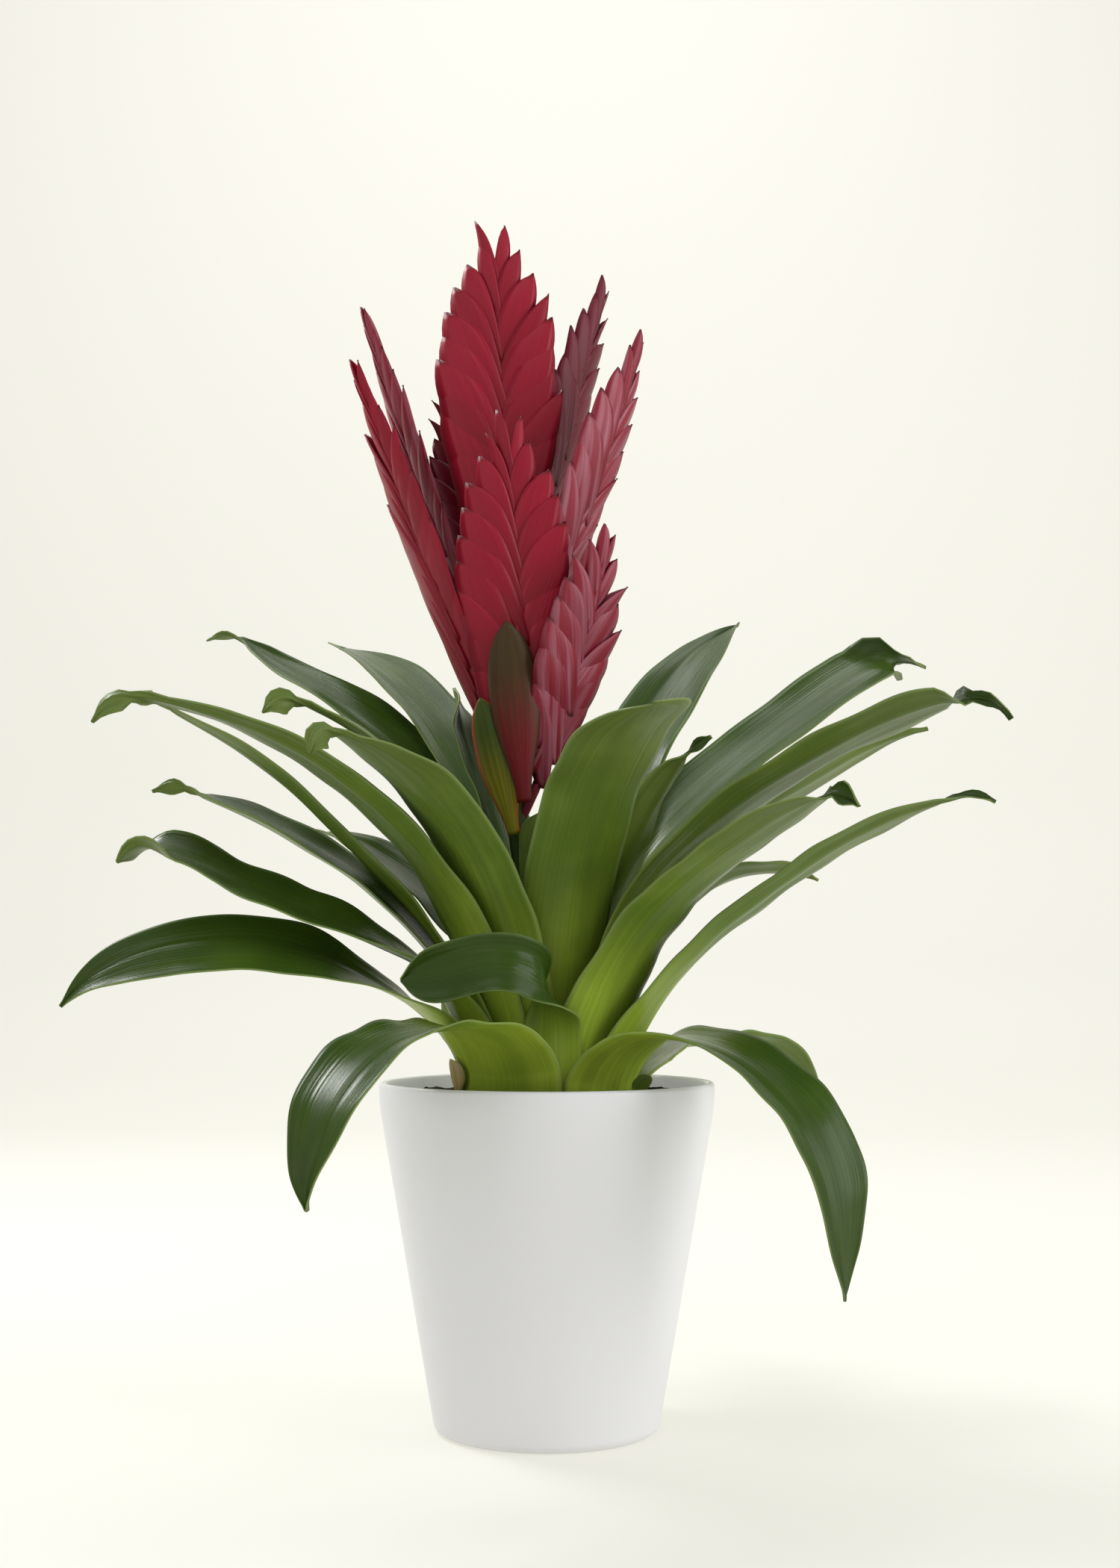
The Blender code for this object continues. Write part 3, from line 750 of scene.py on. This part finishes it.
def make_stage():
    """A pale floor that sweeps up into a backdrop."""
    paint = Paint("stage", 0.9, 0.1)
    paint.colour((0.32, 0.32, 0.305, 1))
    paint.shader.inputs["Emission Color"].default_value = (1.0, 0.98, 0.87, 1)
    paint.shader.inputs["Emission Strength"].default_value = STAGE_GLOW
    shape = bmesh.new()
    sides = (-STAGE_HALF_WIDTH, STAGE_HALF_WIDTH)
    left, right = ([shape.verts.new((x, y, z)) for y, z in STAGE_PROFILE] for x in sides)
    for corners in zip(left, right, right[1:], left[1:]):
        shape.faces.new(corners).smooth = True
    mesh = bpy.data.meshes.new("stage")
    shape.to_mesh(mesh)
    shape.free()
    mesh.materials.append(paint.material)
    floor = bpy.data.objects.new("stage", mesh)
    bpy.context.scene.collection.objects.link(floor)


def add_area(name, spot, aim, size, power):
    light = bpy.data.lights.new(name, "AREA")
    light.size = size
    light.energy = power
    lamp = bpy.data.objects.new(name, light)
    lamp.location = spot
    lamp.rotation_euler = (Vector(aim) - Vector(spot)).to_track_quat("-Z", "Y").to_euler()
    bpy.context.scene.collection.objects.link(lamp)


def make_lights():
    world = bpy.data.worlds.new("studio")
    world.use_nodes = True
    sky = world.node_tree.nodes["Background"]
    sky.inputs["Color"].default_value = (1.0, 0.99, 0.98, 1)
    sky.inputs["Strength"].default_value = WORLD_GLOW
    bpy.context.scene.world = world
    middle = (0, 0, 0.28)
    add_area("key_right", (1.7, -0.55, 0.8), middle, 1.4, 23)
    add_area("fill_left", (-1.2, -1.1, 0.8), middle, 1.2, 6)
    add_area("fill_front", (0.1, -1.7, 0.36), (0, 0, 0.2), 1.2, 2)
    add_area("front_top", (0.1, -1.3, 1.75), middle, 0.9, 7)
    add_area("back_left", (-0.8, 0.5, 1.3), middle, 0.4, 15)
    add_area("backdrop_wash", (0, 0.9, 2.2), (0, 2.3, 0.5), 1.4, 25)


def make_camera():
    camera = bpy.data.cameras.new("camera")
    camera.lens = CAMERA_LENS
    camera.sensor_width = CAMERA_SENSOR
    holder = bpy.data.objects.new("camera", camera)
    holder.location = CAMERA_SPOT
    holder.rotation_euler = (Vector(CAMERA_AIM) - holder.location).to_track_quat("-Z", "Y").to_euler()
    bpy.context.scene.collection.objects.link(holder)
    bpy.context.scene.camera = holder
    bpy.context.scene.view_settings.view_transform = "Standard"


def main():
    chance = random.Random(CHANCE_SEED)
    make_camera()
    make_lights()
    make_stage()
    paints = make_paints()
    make_pot(paints)
    make_soil(paints, chance)
    for leaf in LEAVES:
        make_leaf(leaf, paints, chance)
    for spike in SPIKES:
        make_spike(spike, paints, chance)
    for bract in BRACTS:
        make_bract(bract, paints)
    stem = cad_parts["flower_stem"]
    stem.data.materials.clear()
    stem.data.materials.append(paints["stem"])


main()
